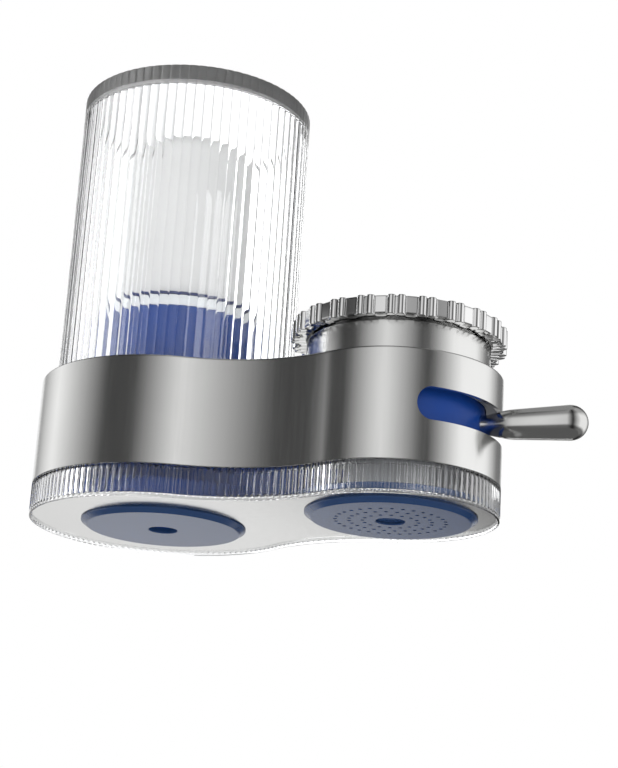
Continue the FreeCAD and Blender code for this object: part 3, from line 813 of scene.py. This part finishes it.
class FILTER_OT_outlet_discs(bpy.types.Operator):
    """Two blue buttons: one with an outlet hole, one with rings of spray holes"""
    bl_idname = "filter.outlet_discs"
    bl_label = "Outlet discs"

    def execute(self, context):
        sizes = discs()
        plain = turned("filtered_button", disc_corners(sizes.outlet, 0.15 * MM), filter_x, 160)
        dress(plain, "housing", "filtered_outlet_disc", finish_of("blue_plastic"))
        wall_low = plate_face + housing().plate_thickness + 0.1 * MM
        wall_top = shell_bottom - housing().skirt_lip - 0.5 * MM
        wall = turned("blue_wall", [(sizes.wall - 1.5 * MM, wall_low, 0.1 * MM),
                                    (sizes.wall, wall_low, 0.2 * MM),
                                    (sizes.wall, wall_top, 0.2 * MM),
                                    (sizes.wall - 1.5 * MM, wall_top, 0.1 * MM)], filter_x, 128)
        # Painted light: the blue wall behind the clear skirt gets the lighter copy of the blue
        dress(wall, "housing", "filtered_outlet_disc", finish_of("lit_blue_behind_clear"))
        spray = self.spray_button()
        dress(spray, "housing", "spray_disc", finish_of("blue_plastic"))
        band_low = plate_face + housing().plate_thickness + 0.1 * MM
        band_top = band_low + sizes.band_height
        band = turned("blue_flange", [(sizes.clip + 0.1 * MM, band_low, 0.1 * MM),
                                      (sizes.band, band_low, 0.2 * MM),
                                      (sizes.band, band_top, 0.2 * MM),
                                      (sizes.clip + 0.1 * MM, band_top, 0.1 * MM)], 0.0, 128)
        dress(band, "housing", "spray_disc", finish_of("blue_plastic"))
        return {"FINISHED"}

    def spray_button(self):
        sizes = discs()
        face = low("spray_disc").z
        corners = disc_corners(sizes.dimple, 0.25 * MM)
        corners[-1] = (0.0, corners[-1][1], 0.0)
        floor = face + sizes.dimple_depth
        corners = [(0.0, floor, 0.0), (sizes.dimple, floor, 0.25 * MM)] + corners
        spray = turned("spray_button", corners, 0.0, 160, "CAPS")
        drills = []
        for ring in range(sizes.rings):
            radius = sizes.outer_ring - sizes.ring_spacing * ring
            holes = sizes.outer_holes - sizes.fewer_holes * ring
            for hole in range(holes):
                place = around(radius, math.tau * hole / holes, face)
                bpy.ops.object.select_all(action="DESELECT")
                bpy.ops.mesh.primitive_cylinder_add(vertices=14, radius=sizes.hole,
                                                    depth=2 * sizes.hole_depth, location=place)
                drills.append(bpy.context.object)
        for drill in drills:
            drill.select_set(True)
        bpy.context.view_layer.objects.active = drills[0]
        bpy.ops.object.join()
        bpy.ops.object.transform_apply(location=True, rotation=True, scale=True)
        cut_away(spray, bpy.context.object)
        smooth_by_angle(spray, 35.0)
        return spray


class FILTER_OT_collar(bpy.types.Operator):
    """Steel collar with its flange below the deck and the threaded neck above"""
    bl_idname = "filter.collar"
    bl_label = "Collar"

    def execute(self, context):
        sizes = nut()
        bottom = low("collar").z
        neck_top = high("collar").z
        flange = high("collar").x
        band = sizes.neck + sizes.band_step
        band_top = low("union_nut").z - 0.1 * MM
        thread_root = sizes.neck - 0.5 * MM
        seat = 21.3 * MM
        seat_level = low("adapter_seal").z
        pocket = 13.8 * MM
        pocket_level = low("tap_adapter").z - 0.3 * MM
        bore = 11.3 * MM
        deck_bottom = shell_top - housing().deck
        corners = [
            (bore, bottom, 0.2 * MM),
            (flange, bottom, 0.2 * MM),
            (flange, deck_bottom, 0.2 * MM),
            (band, deck_bottom, 0.0),
            (band, band_top, 0.2 * MM),
            (thread_root, band_top, 0.1 * MM),
            (thread_root, neck_top, 0.3 * MM),
            (seat, neck_top, 0.3 * MM),
            (seat, seat_level, 0.1 * MM),
            (pocket, seat_level, 0.2 * MM),
            (pocket, pocket_level, 0.2 * MM),
            (bore, pocket_level, 0.2 * MM),
        ]
        piece = turned("collar_band", corners, 0.0, 192)
        dress(piece, "housing", "collar", finish_of("satin_steel"))
        return {"FINISHED"}


class FILTER_OT_union_nut(bpy.types.Operator):
    """Ring nut whose rim has pairs of half-round ribs between flats"""
    bl_idname = "filter.union_nut"
    bl_label = "Ring nut"

    def rim(self):
        """Angle, radius and share of flat at each station round the rim."""
        sizes = nut()
        pitch = math.tau / sizes.grips
        flat_turn = pitch * sizes.flat_share
        rib_turn = (pitch - flat_turn) / 2
        apothem = sizes.flat * math.cos(flat_turn / 2)
        stations = []
        for grip in range(sizes.grips):
            start = pitch * grip
            for step in range(5):
                angle = flat_turn * (0.06 + 0.88 * step / 4)
                stations.append((start + angle, apothem / math.cos(angle - flat_turn / 2), 1.0))
            for rib in range(2):
                rib_start = start + flat_turn + rib_turn * rib
                for step in range(9):
                    across = -1 + 2 * step / 8
                    lift = math.sqrt(max(0.0, 1 - across ** 2))
                    radius = sizes.valley + (sizes.rib - sizes.valley) * lift
                    angle = rib_start + rib_turn * (0.5 + 0.46 * across)
                    stations.append((angle, radius, 0.0))
        return stations

    def execute(self, context):
        sizes = nut()
        bottom = low("union_nut").z
        top = high("union_nut").z
        lip_bottom = top - sizes.lip
        stations = self.rim()

        def rim_ring(shrink, flat_lift, level, rising):
            ring = []
            for angle, radius, flat in stations:
                height = level + rising * flat * flat_lift
                ring.append(around(radius - shrink, angle, height))
            return ring

        def plain_ring(radius, level):
            return [around(radius, angle, level) for angle, rim_radius, flat in stations]

        step_back = sizes.chamfer
        low_step = sizes.low_step
        rings = [
            plain_ring(sizes.bore, lip_bottom),
            plain_ring(sizes.bore, bottom + 0.5 * MM),
            plain_ring(sizes.bore + 0.4 * MM, bottom + 0.2 * MM),
            plain_ring(sizes.valley - 1.0 * MM, bottom + 0.2 * MM),
            rim_ring(0.7 * MM, low_step * 0.8, bottom, 1),
            rim_ring(0.25 * MM, low_step * 0.9, bottom + 0.02 * MM, 1),
            rim_ring(0.06 * MM, low_step, bottom + 0.10 * MM, 1),
            rim_ring(0.0, low_step, bottom + 0.25 * MM, 1),
            rim_ring(0.0, low_step, bottom + 0.55 * MM, 1),
            rim_ring(0.0, step_back, top - 0.55 * MM, -1),
            rim_ring(0.0, step_back, top - 0.25 * MM, -1),
            rim_ring(0.06 * MM, step_back, top - 0.10 * MM, -1),
            rim_ring(0.25 * MM, step_back * 0.6, top - 0.02 * MM, -1),
            rim_ring(0.7 * MM, step_back * 0.2, top, -1),
            plain_ring(sizes.valley - 1.2 * MM, top),
            plain_ring(sizes.valley - 1.6 * MM, top),
            plain_ring(sizes.hole + 0.9 * MM, top),
            plain_ring(sizes.hole + 0.4 * MM, top),
            plain_ring(sizes.hole + 0.1 * MM, top - 0.12 * MM),
            plain_ring(sizes.hole, top - 0.4 * MM),
            plain_ring(sizes.hole, lip_bottom),
        ]
        piece = skinned("ring_nut", rings, "LOOP", 38.0)
        dress(piece, "ring_nut", "union_nut", finish_of("chrome_plate"))
        return {"FINISHED"}


class FILTER_OT_lever(bpy.types.Operator):
    """Turned lever: screwed end, thin neck, flared root and a taper with a round tip"""
    bl_idname = "filter.lever"
    bl_label = "Lever"

    def execute(self, context):
        sizes = cover()
        screw_start = 18.5 * MM
        flare_start = 26.6 * MM
        flare_end = 32.6 * MM
        neck = 2.8 * MM
        neck_rounding = 12.0 * MM
        root = 4.17 * MM
        root_rounding = 16.0 * MM
        tip_centre = 49.4 * MM
        tip = 4.93 * MM
        corners = [
            (neck * 0.9, screw_start, 0.0),
            (neck, screw_start + 0.4 * MM, 0.1 * MM),
            (neck, flare_start, neck_rounding),
            (root, flare_end, root_rounding),
            (tip, tip_centre, 0.0),
        ]
        section = rounded_section(corners, 6)
        for step in range(1, 17):
            angle = math.pi / 2 * step / 16
            section.append(Vector((tip * math.cos(angle), tip_centre + tip * math.sin(angle))))
        rings = [round_ring(96, max(point.x, 0.02 * MM), point.y) for point in section]
        piece = skinned("turned_lever", rings, "CAPS")
        turn_over = Matrix.Rotation(sizes.lever_angle, 4, "Z") @ Matrix.Rotation(math.pi / 2, 4, "Y")
        piece.matrix_world = Matrix.Translation((0, 0, sizes.lever_level)) @ turn_over
        bpy.ops.object.transform_apply(location=True, rotation=True, scale=True)
        dress(piece, "diverter", "lever", finish_of("satin_chrome"))
        return {"FINISHED"}


class FILTER_OT_cover(bpy.types.Operator):
    """Clear cover: reeded wall, thick top and a plain foot below the deck"""
    bl_idname = "filter.cover"
    bl_label = "Clear cover"

    def execute(self, context):
        sizes = cover()
        radius = high("cartridge_cover").y
        top = high("cartridge_cover").z
        bottom = low("cartridge_cover").z
        reed_bottom = shell_top - housing().deck + 0.1 * MM
        ceiling = top - sizes.top
        bore = radius - sizes.wall
        per_reed = 12
        segments = sizes.reeds * per_reed

        def reeded(level, shrink=0.0):
            ring = []
            for step in range(segments):
                across = 2 * ((step % per_reed) / per_reed) - 1
                depth = sizes.reed_crown * across ** 2 + sizes.reed_groove * across ** 8
                ring.append(around(radius - depth - shrink, math.tau * step / segments, level,
                                   filter_x))
            return ring

        def plain(ring_radius, level):
            return round_ring(segments, ring_radius, level, filter_x)

        bevel = sizes.bevel
        rings = [plain(0.05 * MM, ceiling)]
        rings += [plain(bore * share, ceiling) for share in (0.5, 0.9)]
        inner_corner = rounded_section([(bore * 0.95, ceiling, 0), (bore, ceiling, 1.0 * MM),
                                        (bore, bottom, 0.3 * MM), (sizes.foot, bottom, 0.4 * MM),
                                        (sizes.foot, reed_bottom, 0)])
        rings += [plain(point.x, point.y) for point in inner_corner]
        rings += [reeded(reed_bottom, 0.3 * MM), reeded(reed_bottom + 0.3 * MM),
                  reeded(top - bevel - 0.6 * MM), reeded(top - bevel)]
        rings += [reeded(top - bevel * 0.72, bevel * 0.08), reeded(top - bevel * 0.4, bevel * 0.3),
                  reeded(top - bevel * 0.12, bevel * 0.66), reeded(top, bevel * 1.1)]
        rings += [plain(radius - bevel * 2.4, top), plain(radius * 0.5, top), plain(0.05 * MM, top)]
        piece = skinned("reeded_cover", rings, "POLES", 40.0)
        dress(piece, "cover", "cartridge_cover", finish_of("clear_cover"))
        return {"FINISHED"}


class FILTER_OT_cartridge(bpy.types.Operator):
    """Filter cartridge: blue cap, pale ring, blue gasket and the white candle"""
    bl_idname = "filter.cartridge"
    bl_label = "Cartridge"

    def execute(self, context):
        self.cap()
        self.ring("pale_ring", "cartridge_ring", "white_nylon", 0.4 * MM)
        self.ring("blue_gasket", "cartridge_gasket", "blue_rubber", 0.25 * MM)
        self.candle()
        return {"FINISHED"}

    def cap(self):
        bottom = low("cartridge_cap").z
        top = high("cartridge_cap").z
        radius = high("cartridge_cap").y
        wall = 2.2 * MM
        inside = radius - wall
        floor = low("ceramic_candle").z
        foot = floor - 4.0 * MM
        spigot = 7.6 * MM
        hole = 4.0 * MM
        corners = [
            (hole, bottom, 0.3 * MM),
            (spigot, bottom, 0.4 * MM),
            (spigot, foot, 0.2 * MM),
            (radius, foot, 0.8 * MM),
            (radius, top, 0.5 * MM),
            (inside, top, 0.4 * MM),
            (inside, floor, 0.3 * MM),
            (hole, floor, 0.3 * MM),
        ]
        piece = turned("blue_cap", corners, filter_x, 160)
        # Painted light: the cap behind the clear cover gets the lighter copy of the blue
        dress(piece, "housing", "cartridge_cap", finish_of("lit_blue_behind_clear"))

    def ring(self, name, node, slot, rounding):
        outer = high(node).y
        inner = high("ceramic_candle").y + 0.1 * MM
        bottom = low(node).z
        top = high(node).z
        corners = [(inner, bottom, 0.1 * MM), (outer, bottom, rounding), (outer, top, rounding),
                   (inner, top, 0.1 * MM)]
        piece = turned(name, corners, filter_x, 160)
        dress(piece, "housing", node, finish_of(slot))

    def candle(self):
        radius = high("ceramic_candle").y
        bottom = low("ceramic_candle").z
        top = high("ceramic_candle").z
        dome = 8.0 * MM
        crown = (radius ** 2 + dome ** 2) / (2 * dome)
        crown_centre = top - crown
        wall = 6.5 * MM
        crown_wall = 5.7 * MM
        shoulder_rounding = 6.0 * MM
        bore = radius - wall
        corners = [(bore, top - dome - crown_wall, 0.0), (bore, bottom, 0.3 * MM),
                   (radius, bottom, 0.3 * MM), (radius, top - dome, shoulder_rounding)]
        shoulder_end = 0.78 * radius
        crown_level = crown_centre + math.sqrt(crown ** 2 - shoulder_end ** 2)
        corners.append((shoulder_end, crown_level, 0.0))
        section = rounded_section(corners, 8)
        for share in (0.66, 0.5, 0.33, 0.16, 0.001):
            across = shoulder_end * share
            section.append(Vector((across, crown_centre + math.sqrt(crown ** 2 - across ** 2))))
        rings = [round_ring(128, max(point.x, 0.02 * MM), point.y, filter_x) for point in section]
        piece = skinned("white_candle", rings, "CAPS", 50.0)
        dress(piece, "housing", "ceramic_candle", finish_of("white_ceramic"))


carried_nodes = {
    "slip_ring": "white_nylon",
    "tap_adapter": "chrome_plate",
    "inlet_washer": "black_rubber",
    "inlet_screen": "mesh_steel",
    "adapter_seal": "black_rubber",
    "valve_body": "grey_plastic",
    "port_seals": "black_rubber",
    # Painted light: the rotor and the chassis get the lighter copy of the blue
    "valve_rotor": "lit_blue_behind_clear",
    "rotor_seal": "black_rubber",
    "water_chassis": "lit_blue_behind_clear",
    "cover_seal": "black_rubber",
    "spigot_seal": "black_rubber",
    "carbon_core": "black_carbon",
}


class FILTER_OT_inner_finishes(bpy.types.Operator):
    """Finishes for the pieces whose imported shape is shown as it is"""
    bl_idname = "filter.inner_finishes"
    bl_label = "Inner finishes"

    def execute(self, context):
        for node, slot in carried_nodes.items():
            mesh = frame["nodes"][node].data
            mesh.materials.clear()
            mesh.materials.append(finish_of(slot))
        return {"FINISHED"}


# Cloths of the light tent, with round values: the direction of the middle, half of the even part and
# the width of each soft edge in degrees, and the brightness
tent_cloths = {
    "left": (205, 0, 30, 0.90),
    "front": (280, 0, 30, 0.75),
    "right": (365, 20, 30, 0.90),
    "rear": (430, 15, 15, 0.15),
}
tent_gap = 0.05
tent_span = (180, 440)


def tent_brightness(degrees):
    """The strongest cloth in this direction, or the dark gap."""
    brightest = tent_gap
    for middle, half_width, edge, level in tent_cloths.values():
        beyond = max(0.0, abs(degrees - middle) - half_width)
        brightest = max(brightest, level - (level - tent_gap) * beyond / edge)
    return brightest


def tent_corners():
    """Directions at which the brightness changes its slope, from one end of the tent to the other."""
    corners = set(tent_span)
    for middle, half_width, edge, level in tent_cloths.values():
        for reach in (half_width, half_width + edge):
            corners |= {middle - reach, middle + reach}
    return sorted(corner for corner in corners if tent_span[0] <= corner <= tent_span[1])


class FILTER_OT_stage(bpy.types.Operator):
    """Studio: pale floor, white surroundings, light tent, soft lamps and the camera"""
    bl_idname = "filter.stage"
    bl_label = "Studio"

    def execute(self, context):
        self.world()
        self.floor()
        self.tent()
        self.screens()
        self.lamps()
        self.camera()
        return {"FINISHED"}

    def world(self):
        """White for what the camera sees straight or reflected, dimmer as a light on the pieces."""
        world = bpy.data.worlds.new("studio_white")
        bpy.context.scene.world = world
        world.use_nodes = True
        path = add_node(world, "ShaderNodeLightPath").outputs
        direct = self.either(world, path["Is Camera Ray"], path["Is Transmission Ray"])
        seen = self.either(world, direct, path["Is Glossy Ray"])
        strength = map_range(world, seen, (0.0, 1.0), (0.55, 1.0))
        worn = product(world, strength, self.overhead(world), self.long_paths(world, path),
                       self.to_the_right(world, path))
        inner = add_node(world, "ShaderNodeMix", {
            "Factor": path["Diffuse Depth"], "A": worn, "B": self.behind_clear(world, path)})
        background = world.node_tree.nodes["Background"]
        background.inputs["Color"].default_value = (1, 1, 1, 1)
        world.node_tree.links.new(inner.outputs["Result"], background.inputs["Strength"])

    def either(self, world, first, second):
        return add_node(world, "ShaderNodeMath", {0: first, 1: second},
                        operation="MAXIMUM").outputs[0]

    def behind_clear(self, world, path):
        """Light on matt pieces: more where it comes through clear plastic, which stops the lamps."""
        return map_range(world, path["Is Transmission Ray"], (0.0, 1.0), (0.55, 1.15))

    def overhead(self, world):
        """One near the horizon, grey straight up."""
        return map_range(world, coordinates(world, "Generated")["Z"], (0.5, 0.72), (1.0, 0.3))

    def long_paths(self, world, path):
        """One for rays that go straight through the cover, dark for those that bounce on."""
        return map_range(world, path["Ray Depth"], (5.0, 7.0), (1.0, 0.2))

    def to_the_right(self, world, path):
        """One ahead, grey on the right for what the clear plastic bends that way."""
        rightwards = (0.909, 0.416, 0.0)
        place = add_node(world, "ShaderNodeTexCoord")
        across = add_node(world, "ShaderNodeVectorMath", {
            0: place.outputs["Generated"], 1: rightwards}, operation="DOT_PRODUCT")
        fade = map_range(world, across.outputs["Value"], (0.0, 0.25), (1.0, 0.5))
        level = add_node(world, "ShaderNodeMix", {
            "Factor": path["Is Transmission Ray"], "A": 1.0, "B": fade})
        return level.outputs["Result"]

    def floor(self):
        bpy.ops.object.select_all(action="DESELECT")
        bpy.ops.mesh.primitive_plane_add(size=6.0, location=(0, 0, -0.30))
        floor = bpy.context.object
        floor.name = "pale_floor"
        floor.visible_camera = False
        floor.visible_transmission = False
        floor.data.materials.append(finish("pale_floor", (0.9, 0.9, 0.9), 0.01, (0.6, 0.7), 40.0))

    def tent(self):
        """Open cylinder of soft light and dark."""
        first, last = (math.radians(degrees) for degrees in tent_span)
        bpy.ops.object.select_all(action="DESELECT")
        bpy.ops.mesh.primitive_cylinder_add(vertices=180, radius=180 * MM, depth=0.9,
                                            end_fill_type="NOTHING",
                                            location=(-10 * MM, 40 * MM, 0))
        tent = bpy.context.object
        bpy.ops.object.mode_set(mode="EDIT")
        bpy.ops.mesh.select_all(action="DESELECT")
        mesh = bmesh.from_edit_mesh(tent.data)
        for face in mesh.faces:
            place = face.calc_center_median()
            angle = math.atan2(place.y, place.x) % math.tau
            if angle < first and angle + math.tau > last:
                face.select = True
        bmesh.update_edit_mesh(tent.data)
        bpy.ops.mesh.delete(type="FACE")
        bpy.ops.object.mode_set(mode="OBJECT")
        self.only_reflected("light_tent", self.tent_material(first, last))

    def tent_material(self, first, last):
        """The cloths round the tent, dimmed at its foot, at its top and high on the left."""
        material = self.bare_material("tent_cloth")
        place = coordinates(material)
        angle = add_node(material, "ShaderNodeMath", {0: place["Y"], 1: place["X"]},
                         operation="ARCTAN2")
        lowest = first - 0.3
        wrapped = add_node(material, "ShaderNodeMath", {
            0: angle.outputs[0], 1: lowest + math.tau, 2: lowest}, operation="WRAP").outputs[0]
        ramp = add_node(material, "ShaderNodeValToRGB", {
            "Fac": map_range(material, wrapped, (first, last), (0.0, 1.0))})
        ramp.color_ramp.interpolation = "LINEAR"
        corners = tent_corners()
        while len(ramp.color_ramp.elements) < len(corners):
            ramp.color_ramp.elements.new(1.0)
        for element, degrees in zip(ramp.color_ramp.elements, corners):
            element.position = (math.radians(degrees) - first) / (last - first)
            element.color = (*[tent_brightness(degrees)] * 3, 1.0)
        foot = map_range(material, place["Z"], (-0.110, -0.075), (0.18, 1.0))
        top = map_range(material, place["Z"], (0.05, 0.13), (1.2, 0.5))
        high_left = add_node(material, "ShaderNodeMix", {
            "Factor": map_range(material, place["Z"], (0.034, 0.050), (0.0, 1.0)),
            "A": 1.0,
            "B": map_range(material, wrapped, (4.05, 4.35), (0.15, 1.0))})
        strength = product(material, high_left.outputs["Result"], foot, top)
        return self.shine(material, {"Strength": strength, "Color": ramp.outputs["Color"]})

    def bare_material(self, name):
        material = bpy.data.materials.new(name)
        material.use_nodes = True
        material.node_tree.nodes.remove(material.node_tree.nodes["Principled BSDF"])
        return material

    def shine(self, material, inputs):
        emission = add_node(material, "ShaderNodeEmission", inputs)
        output = material.node_tree.nodes["Material Output"]
        material.node_tree.links.new(emission.outputs[0], output.inputs["Surface"])
        return material

    def screens(self):
        """Dark tray below the lever and a floor screen that darkens to the right."""
        bpy.ops.object.select_all(action="DESELECT")
        bpy.ops.mesh.primitive_circle_add(vertices=96, radius=0.18, fill_type="NGON",
                                          location=(-10 * MM, 0.0, -0.17))
        tray = self.screen_material("tray_cloth", (-1.0, 1.0), (0.12, 0.12), 1.0)
        self.only_reflected("dark_tray", tray)
        bpy.ops.object.select_all(action="DESELECT")
        bpy.ops.mesh.primitive_plane_add(size=1.6, location=(-0.35, 1.25, -0.295))
        screen = self.screen_material("screen_cloth", (-0.12, 0.09), (1.0, 0.10), 0.82)
        self.only_reflected("floor_screen", screen)

    def screen_material(self, name, across, values, far_left):
        material = self.bare_material(name)
        place = coordinates(material)["X"]
        left = map_range(material, place, (-0.30, -0.20), (far_left, 1.0))
        strength = product(material, left, map_range(material, place, across, values))
        return self.shine(material, {"Strength": strength})

    def only_reflected(self, name, material):
        """Names and dresses the new piece of stage, which nothing but reflections sees."""
        screen = bpy.context.object
        screen.name = name
        screen.data.materials.append(material)
        screen.visible_camera = False
        screen.visible_diffuse = False
        screen.visible_transmission = False
        screen.visible_volume_scatter = False
        screen.visible_shadow = False

    def lamps(self):
        """Large soft lamps that reflections don't see."""
        for name, place, size, power in (
                ("left_lamp", (-0.75, -0.65, 0.35), 0.7, 7.0),
                ("right_lamp", (0.8, -0.55, 0.15), 0.6, 4.5),
                ("low_lamp", (0.1, -0.5, -0.5), 0.6, 4.0),
                ("back_lamp", (-0.1, 0.8, 0.5), 0.8, 5.0)):
            bpy.ops.object.light_add(type="AREA", location=place)
            lamp = bpy.context.object
            lamp.name = name
            lamp.data.size = size
            lamp.data.energy = power
            towards = Vector((filter_x / 2, 0, 0)) - Vector(place)
            lamp.rotation_euler = towards.to_track_quat("-Z", "Y").to_euler()
            lamp.visible_glossy = False

    def camera(self):
        """The photograph's viewpoint: below the filter, on the lever side."""
        turn_left = math.radians(24.632)
        tilt_up = math.radians(17.238)
        roll = math.radians(-3.605)
        data = bpy.data.cameras.new("viewpoint")
        data.lens = 84.04
        data.sensor_width = 36.0
        data.sensor_fit = "AUTO"
        data.clip_start = 0.01
        camera = bpy.data.objects.new("viewpoint", data)
        bpy.context.scene.collection.objects.link(camera)
        heading = (Matrix.Rotation(turn_left, 4, "Z") @ Matrix.Rotation(tilt_up, 4, "X")
                   @ Matrix.Rotation(roll, 4, "Y") @ Matrix.Rotation(math.pi / 2, 4, "X"))
        camera.matrix_world = Matrix.Translation((0.17856, -0.44889, -0.16717)) @ heading
        bpy.context.scene.camera = camera


class FILTER_PT_panel(bpy.types.Panel):
    """Lists the steps that build the water filter"""
    bl_idname = "FILTER_PT_panel"
    bl_label = "Water filter"
    bl_space_type = "VIEW_3D"
    bl_region_type = "UI"
    bl_category = "Water filter"

    def draw(self, context):
        for step in steps:
            self.layout.operator(step.bl_idname)


size_groups = {
    "filter_housing": HousingSizes,
    "filter_discs": DiscSizes,
    "filter_nut": NutSizes,
    "filter_cover": CoverSizes,
    "filter_colours": FinishColours,
}

steps = (
    FILTER_OT_stage,
    FILTER_OT_housing_shell,
    FILTER_OT_skirt,
    FILTER_OT_base_plate,
    FILTER_OT_outlet_discs,
    FILTER_OT_collar,
    FILTER_OT_union_nut,
    FILTER_OT_lever,
    FILTER_OT_cover,
    FILTER_OT_cartridge,
    FILTER_OT_inner_finishes,
)


def register():
    for group in size_groups.values():
        bpy.utils.register_class(group)
    for name, group in size_groups.items():
        setattr(bpy.types.Scene, name, bpy.props.PointerProperty(type=group))
    for step in steps:
        bpy.utils.register_class(step)
    bpy.utils.register_class(FILTER_PT_panel)


def unregister():
    bpy.utils.unregister_class(FILTER_PT_panel)
    for step in reversed(steps):
        bpy.utils.unregister_class(step)
    for name in size_groups:
        delattr(bpy.types.Scene, name)
    for group in reversed(list(size_groups.values())):
        bpy.utils.unregister_class(group)


def main():
    register()
    bpy.ops.object.select_all(action="DESELECT")
    bpy.context.scene.view_settings.view_transform = "Standard"
    for step in steps:
        group, action = step.bl_idname.split(".")
        getattr(getattr(bpy.ops, group), action)()


if __name__ == "__main__":
    main()
